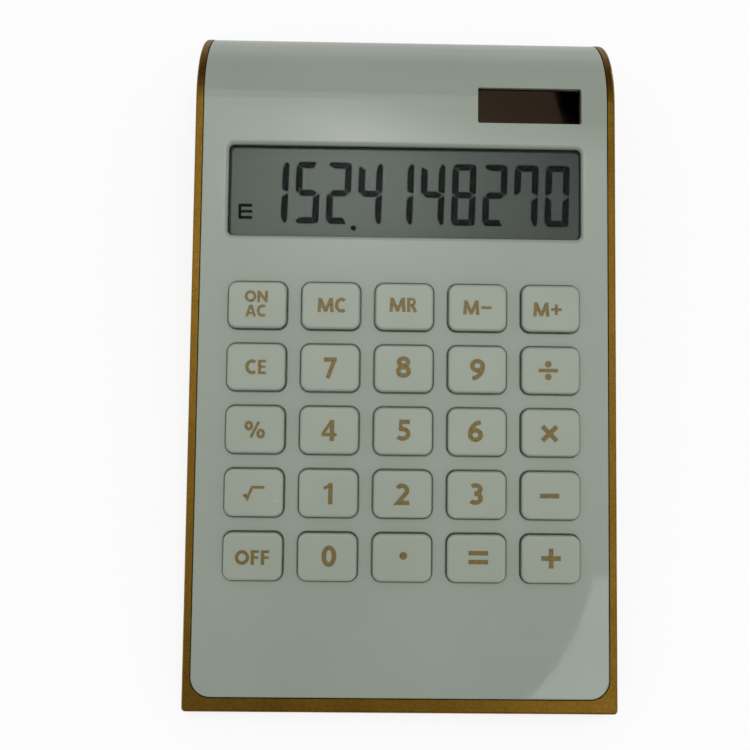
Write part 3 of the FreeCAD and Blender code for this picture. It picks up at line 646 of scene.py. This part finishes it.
doorLook = {"ribs": 6, "step": 1.15, "ribLength": 15.0, "ribRadius": 0.34, "fromLatch": 1.6,
            "ribCuts": 33, "ribSides": 14, "ribTaper": 14.0,
            "arrowHalf": 1.7, "arrowLength": 3.4, "arrowStroke": 0.62, "arrowRise": 0.22, "arrowSink": 0.02,
            "arrowFromHinge": 2.6}


def ribRowTree():
    # ribs of one length side by side, each tapered round at its ends
    tree = bpy.data.node_groups.new("grip ribs", "GeometryNodeTree")
    for label, kind in (("Count", "Int"), ("Step", "Float"), ("Length", "Float"), ("Radius", "Float"),
                        ("Start", "Vector"), ("Finish", "Material")):
        tree.interface.new_socket(label, in_out="INPUT", socket_type="NodeSocket" + kind)
    tree.interface.new_socket("Geometry", in_out="OUTPUT", socket_type="NodeSocketGeometry")
    source = tree.nodes.new("NodeGroupInput").outputs
    target = tree.nodes.new("NodeGroupOutput")
    link = tree.links.new

    half = addNode(tree, "ShaderNodeMath", {1: 0.5}, operation="MULTIPLY")
    link(source["Length"], half.inputs[0])
    back = addNode(tree, "ShaderNodeMath", {1: -1.0}, operation="MULTIPLY")
    link(half.outputs[0], back.inputs[0])
    left = addNode(tree, "ShaderNodeCombineXYZ")
    link(back.outputs[0], left.inputs["X"])
    right = addNode(tree, "ShaderNodeCombineXYZ")
    link(half.outputs[0], right.inputs["X"])
    spine = addNode(tree, "GeometryNodeCurvePrimitiveLine")
    link(left.outputs[0], spine.inputs["Start"])
    link(right.outputs[0], spine.inputs["End"])
    cut = addNode(tree, "GeometryNodeResampleCurve", {"Count": doorLook["ribCuts"]})
    link(spine.outputs["Curve"], cut.inputs["Curve"])

    # radius along the rib: full in the middle, falling to nothing at both ends
    along = addNode(tree, "GeometryNodeSplineParameter")
    centred = addNode(tree, "ShaderNodeMath", {1: 2.0, 2: -1.0}, operation="MULTIPLY_ADD")
    link(along.outputs["Factor"], centred.inputs[0])
    folded = addNode(tree, "ShaderNodeMath", operation="ABSOLUTE")
    link(centred.outputs[0], folded.inputs[0])
    steep = addNode(tree, "ShaderNodeMath", {1: doorLook["ribTaper"]}, operation="POWER")
    link(folded.outputs[0], steep.inputs[0])
    falling = addNode(tree, "ShaderNodeMath", {0: 1.0}, operation="SUBTRACT")
    link(steep.outputs[0], falling.inputs[1])
    rounded = addNode(tree, "ShaderNodeMath", operation="SQRT")
    link(falling.outputs[0], rounded.inputs[0])
    profile = addNode(tree, "GeometryNodeCurvePrimitiveCircle", {"Resolution": doorLook["ribSides"]})
    link(source["Radius"], profile.inputs["Radius"])
    sweep = addNode(tree, "GeometryNodeCurveToMesh", {"Fill Caps": True})
    link(cut.outputs["Curve"], sweep.inputs["Curve"])
    link(profile.outputs["Curve"], sweep.inputs["Profile Curve"])
    link(rounded.outputs[0], sweep.inputs["Scale"])
    smooth = addNode(tree, "GeometryNodeSetShadeSmooth", {"Shade Smooth": True})
    link(sweep.outputs["Mesh"], smooth.inputs["Geometry"])

    offset = addNode(tree, "ShaderNodeCombineXYZ")
    link(source["Step"], offset.inputs["Y"])
    row = addNode(tree, "GeometryNodeMeshLine", mode="OFFSET")
    link(source["Count"], row.inputs["Count"])
    link(source["Start"], row.inputs["Start Location"])
    link(offset.outputs[0], row.inputs["Offset"])
    spread = addNode(tree, "GeometryNodeInstanceOnPoints")
    link(row.outputs["Mesh"], spread.inputs["Points"])
    link(smooth.outputs["Geometry"], spread.inputs["Instance"])
    realize = addNode(tree, "GeometryNodeRealizeInstances")
    link(spread.outputs["Instances"], realize.inputs["Geometry"])
    paint = addNode(tree, "GeometryNodeSetMaterial")
    link(realize.outputs["Geometry"], paint.inputs["Geometry"])
    link(source["Finish"], paint.inputs["Material"])
    link(paint.outputs["Geometry"], target.inputs["Geometry"])
    return tree


def growPiece(name, tree, inputs):
    # runs a tree on an empty mesh and keeps the result as a plain mesh at the origin
    piece = bpy.data.objects.new(name, bpy.data.meshes.new(name + "_seed"))
    bpy.context.scene.collection.objects.link(piece)
    grow = piece.modifiers.new("grow", "NODES")
    grow.node_group = tree
    sockets = {s.name: s.identifier for s in tree.interface.items_tree if s.in_out == "INPUT"}
    for label, value in inputs.items():
        grow[sockets[label]] = value
    bpy.context.view_layer.update()
    evaluated = piece.evaluated_get(bpy.context.evaluated_depsgraph_get())
    mesh = bpy.data.meshes.new_from_object(evaluated)
    piece.modifiers.remove(grow)
    piece.data = mesh
    mesh.name = name
    return piece


doorLow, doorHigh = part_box("battery_door")
ribs = growPiece("battery_door_ribs", ribRowTree(), {
    "Count": doorLook["ribs"], "Step": -doorLook["step"] * mm, "Length": doorLook["ribLength"] * mm,
    "Radius": doorLook["ribRadius"] * mm, "Finish": finishes["gold_paint"],
    "Start": (0.0, doorHigh.y - doorLook["fromLatch"] * mm, doorLow.z)})
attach(ribs, "battery_door")
arrowFoot = doorLow.y / mm + doorLook["arrowFromHinge"]
arrowTip = arrowFoot + doorLook["arrowLength"]
arrowBack = arrowTip - doorLook["arrowHalf"]
underTurn = Matrix(((-1, 0, 0), (0, 1, 0), (0, 0, -1)))  # across, towards the latch and down
arrowHead = [(-doorLook["arrowHalf"], arrowBack), (0, arrowTip), (doorLook["arrowHalf"], arrowBack)]
arrowShaft = [(0, arrowFoot), (0, arrowTip)]
arrowLines = [ribbon(line, doorLook["arrowStroke"]) for line in (arrowHead, arrowShaft)]
arrow = inkMesh("battery_door_arrow", arrowLines, -doorLow.z - doorLook["arrowSink"] * mm,
                -doorLow.z + doorLook["arrowRise"] * mm, finishes["gold_paint"], underTurn)
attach(arrow, "battery_door")
print("door ribs and arrow:", len(ribs.data.polygons) + len(arrow.data.polygons), "faces")


# Stage: pale floor that keeps the shadow, white all round, a soft lamp and cards for the gloss to show

stageLook = {"floor": (0.95, 0.95, 0.95, 1), "reach": 4.0, "shadow": 0.22, "fade": (0.3, 1.6),
             "ambient": 0.60}
lampLook = {"place": (0.02, 0.10, 0.84), "aim": (0, 0, 0.02), "size": 0.55, "radiance": 3.2}
glowLook = {"height": 1.0, "edge": 0.72, "reachOut": 1.6, "drop": 0.002, "gap": 0.001,
            "front": 0.04, "back": 1.2, "slope": (-0.70, 0.14), "peak": 2.2, "centre": (-0.03, 0.235),
            "reach": 0.26, "curtain": (0.272, 0.312), "shade": 0.45, "lean": 0.13,
            "wall": 0.02, "skirting": 0.6, "wallFade": (0.0, 0.55), "backFloor": 0.10,
            "sideLow": 1.5, "sideHigh": 0.35, "sideFade": (0.12, 0.40), "low": 0.25,
            "backLine": [(-0.30, 0.52), (0.10, 0.44), (0.60, 0.36)], "backEnds": (0.54, 0.33),
            "corner": [(0.272, 0.279), (0.60, 0.279), (0.60, 0.72), (0.219, 0.44)],
            "patch": 1.7, "patchArc": (-0.004, -0.333, 0.343, 0.343, -8, -62),
            "patchFar": [(0.80, -0.90), (0.80, -0.382)]}


def whiteForViewing(tree):
    # 1 for rays from the camera, a gloss or a clear piece, 0 for those that carry light
    path = addNode(tree, "ShaderNodeLightPath")
    first = addNode(tree, "ShaderNodeMath", operation="MAXIMUM")
    tree.links.new(path.outputs["Is Camera Ray"], first.inputs[0])
    tree.links.new(path.outputs["Is Glossy Ray"], first.inputs[1])
    both = addNode(tree, "ShaderNodeMath", operation="MAXIMUM")
    tree.links.new(first.outputs[0], both.inputs[0])
    tree.links.new(path.outputs["Is Transmission Ray"], both.inputs[1])
    return both.outputs[0]


def bareMaterial(name):
    material = bpy.data.materials.new(name)
    material.use_nodes = True
    tree = material.node_tree
    tree.nodes.remove(tree.nodes["Principled BSDF"])
    return material, tree, tree.nodes["Material Output"].inputs["Surface"]


def paleFloor():
    material, tree, surface = bareMaterial("pale floor")
    plain = addNode(tree, "ShaderNodeBsdfDiffuse", {"Color": stageLook["floor"]})
    glow = addNode(tree, "ShaderNodeEmission", {"Color": (1, 1, 1, 1), "Strength": 1.0})
    # the shadow shows round the object and fades to white farther off
    distance = addNode(tree, "ShaderNodeVectorMath", operation="LENGTH")
    tree.links.new(objectCoords(tree), distance.inputs[0])
    lit = addNode(tree, "ShaderNodeMixShader")
    tree.links.new(mapRange(tree, distance.outputs["Value"], *stageLook["fade"], stageLook["shadow"], 0),
                   lit.inputs["Fac"])
    tree.links.new(glow.outputs[0], lit.inputs[1])
    tree.links.new(plain.outputs[0], lit.inputs[2])
    seen = addNode(tree, "ShaderNodeMixShader")
    tree.links.new(whiteForViewing(tree), seen.inputs["Fac"])
    tree.links.new(plain.outputs[0], seen.inputs[1])
    tree.links.new(lit.outputs[0], seen.inputs[2])
    # from below the floor is not there
    side = addNode(tree, "ShaderNodeNewGeometry")
    clear = addNode(tree, "ShaderNodeBsdfTransparent")
    sided = addNode(tree, "ShaderNodeMixShader")
    tree.links.new(side.outputs["Backfacing"], sided.inputs["Fac"])
    tree.links.new(seen.outputs[0], sided.inputs[1])
    tree.links.new(clear.outputs[0], sided.inputs[2])
    tree.links.new(sided.outputs[0], surface)
    return material


def plainGlow(name, strength):
    material, tree, surface = bareMaterial(name)
    glow = addNode(tree, "ShaderNodeEmission", {"Strength": strength})
    tree.links.new(glow.outputs[0], surface)
    return material


def wallGlow(name, foot, head, fade):
    # wall that goes softly from one brightness at its foot to another above
    material, tree, surface = bareMaterial(name)
    split = addNode(tree, "ShaderNodeSeparateXYZ")
    tree.links.new(objectCoords(tree), split.inputs[0])
    glow = addNode(tree, "ShaderNodeEmission")
    tree.links.new(mapRange(tree, split.outputs["Z"], *fade, foot, head), glow.inputs["Strength"])
    tree.links.new(glow.outputs[0], surface)
    return material


def ceilingGlow():
    # dim over the front, brighter towards the back, with a soft lamp spot that ends at a curtain
    look = glowLook
    material, tree, surface = bareMaterial("ceiling glow")
    coords = objectCoords(tree)
    split = addNode(tree, "ShaderNodeSeparateXYZ")
    tree.links.new(coords, split.inputs[0])
    slope = mapRange(tree, split.outputs["Y"], *look["slope"], look["front"], look["back"])
    centre = addNode(tree, "ShaderNodeMapping")
    centre.inputs["Scale"].default_value = (1 / look["reach"],) * 3
    x, y = look["centre"]
    centre.inputs["Location"].default_value = (-x / look["reach"], -y / look["reach"],
                                               -look["height"] / look["reach"])
    tree.links.new(coords, centre.inputs["Vector"])
    spot = addNode(tree, "ShaderNodeTexGradient", gradient_type="QUADRATIC_SPHERE")
    tree.links.new(centre.outputs[0], spot.inputs["Vector"])
    total = addNode(tree, "ShaderNodeMath", {1: look["peak"]}, operation="MULTIPLY_ADD")
    tree.links.new(spot.outputs["Fac"], total.inputs[0])
    tree.links.new(slope, total.inputs[2])
    slant = addNode(tree, "ShaderNodeMath", {1: look["lean"]}, operation="MULTIPLY_ADD")
    tree.links.new(split.outputs["X"], slant.inputs[0])
    tree.links.new(split.outputs["Y"], slant.inputs[2])
    shaded = addNode(tree, "ShaderNodeMath", operation="MULTIPLY")
    tree.links.new(total.outputs[0], shaded.inputs[0])
    tree.links.new(mapRange(tree, slant.outputs[0], *look["curtain"], 1, look["shade"]), shaded.inputs[1])
    glow = addNode(tree, "ShaderNodeEmission")
    tree.links.new(shaded.outputs[0], glow.inputs["Strength"])
    tree.links.new(glow.outputs[0], surface)
    return material


def whiteWorld():
    world = bpy.data.worlds.new("studio")
    world.use_nodes = True
    tree = world.node_tree
    tree.nodes.clear()
    room = addNode(tree, "ShaderNodeBackground", {"Color": (1, 1, 1, 1), "Strength": stageLook["ambient"]})
    white = addNode(tree, "ShaderNodeBackground", {"Color": (1, 1, 1, 1), "Strength": 1.0})
    either = addNode(tree, "ShaderNodeMixShader")
    tree.links.new(whiteForViewing(tree), either.inputs["Fac"])
    tree.links.new(room.outputs[0], either.inputs[1])
    tree.links.new(white.outputs[0], either.inputs[2])
    output = addNode(tree, "ShaderNodeOutputWorld")
    tree.links.new(either.outputs[0], output.inputs["Surface"])
    bpy.context.scene.world = world


def card(name, corners, material, inGlossOnly=True):
    # flat stage piece; most are there only for the gloss to show
    data = bpy.data.meshes.new(name)
    data.from_pydata(corners, [], [list(range(len(corners)))])
    data.materials.append(material)
    piece = bpy.data.objects.new(name, data)
    bpy.context.scene.collection.objects.link(piece)
    if inGlossOnly:
        piece.visible_camera = False
        piece.visible_diffuse = False
        piece.visible_shadow = False


def softbox(name, look):
    # square soft light whose face is that bright, left out of the gloss, where the cards show
    data = bpy.data.lights.new(name, "AREA")
    data.size = look["size"]
    data.energy = look["radiance"] * look["size"] ** 2 * math.pi
    light = bpy.data.objects.new(name, data)
    light.location = look["place"]
    aim = Vector(look["aim"]) - Vector(look["place"])
    light.rotation_euler = aim.to_track_quat("-Z", "Y").to_euler()
    light.visible_camera = False
    light.visible_glossy = False
    bpy.context.scene.collection.objects.link(light)


def flat(points, z):
    return [(x, y, z) for x, y in points]


whiteWorld()
far, out = stageLook["reach"], glowLook["reachOut"]
card("floor", flat([(-far, -far), (far, -far), (far, far), (-far, far)], cadLow.z), paleFloor(),
     inGlossOnly=False)
roof, edge = glowLook["height"], glowLook["edge"]
card("ceiling", flat([(-out, -out), (out, -out), (out, edge), (-out, edge)], roof), ceilingGlow())
card("back wall", [(-out, edge, roof), (out, edge, roof), (out, out, 0.0), (-out, out, 0.0)],
     wallGlow("back wall", glowLook["skirting"], glowLook["wall"], glowLook["wallFade"]))
sideGlow = wallGlow("side glow", glowLook["sideLow"], glowLook["sideHigh"], glowLook["sideFade"])
frontGlow = plainGlow("front glow", glowLook["low"])
for name, start, end, glow in (("left card", (-out, out), (-out, -out), sideGlow),
                               ("front card", (-out, -out), (out, -out), frontGlow),
                               ("right card", (out, -out), (out, out), sideGlow)):
    card(name, [(*start, 0.0), (*end, 0.0), (*end, roof), (*start, roof)], glow)

# dark and bright cards just under the ceiling, and a dim floor behind the object
below, above = roof - glowLook["drop"], cadLow.z + glowLook["gap"]
leftEnd, rightEnd = glowLook["backEnds"]
darkEdge = [(-out, leftEnd)] + glowLook["backLine"] + [(out, rightEnd)]
card("dark back", flat(darkEdge + [(out, edge), (-out, edge)], below),
     plainGlow("dark back", glowLook["wall"]))
card("dark corner", flat(glowLook["corner"], below - glowLook["gap"]), plainGlow("dark corner", 0.0))
near = glowLook["backFloor"]
card("back floor", flat([(-out, near), (out, near), (out, out), (-out, out)], above),
     plainGlow("back floor", glowLook["skirting"]))
card("bright patch", flat(bow(*glowLook["patchArc"]) + glowLook["patchFar"], below),
     plainGlow("bright patch", glowLook["patch"]))
softbox("overhead softbox", lampLook)


# Camera at the photograph's angle

cameraLook = {"place": (-9.373, -43.55, 212.744), "turn": (10.66, -0.811, 0.578), "lens": 38.671,
              "sensor": 36, "nearest": 5}
view = bpy.data.cameras.new("camera")
view.sensor_width = cameraLook["sensor"]
view.lens = cameraLook["lens"]
view.clip_start = cameraLook["nearest"] * mm
camera = bpy.data.objects.new("camera", view)
camera.location = Vector(cameraLook["place"]) * mm
camera.rotation_euler = Euler([math.radians(a) for a in cameraLook["turn"]], "XYZ")
bpy.context.scene.collection.objects.link(camera)
bpy.context.scene.camera = camera
bpy.context.scene.view_settings.view_transform = "Standard"
print("stage set")
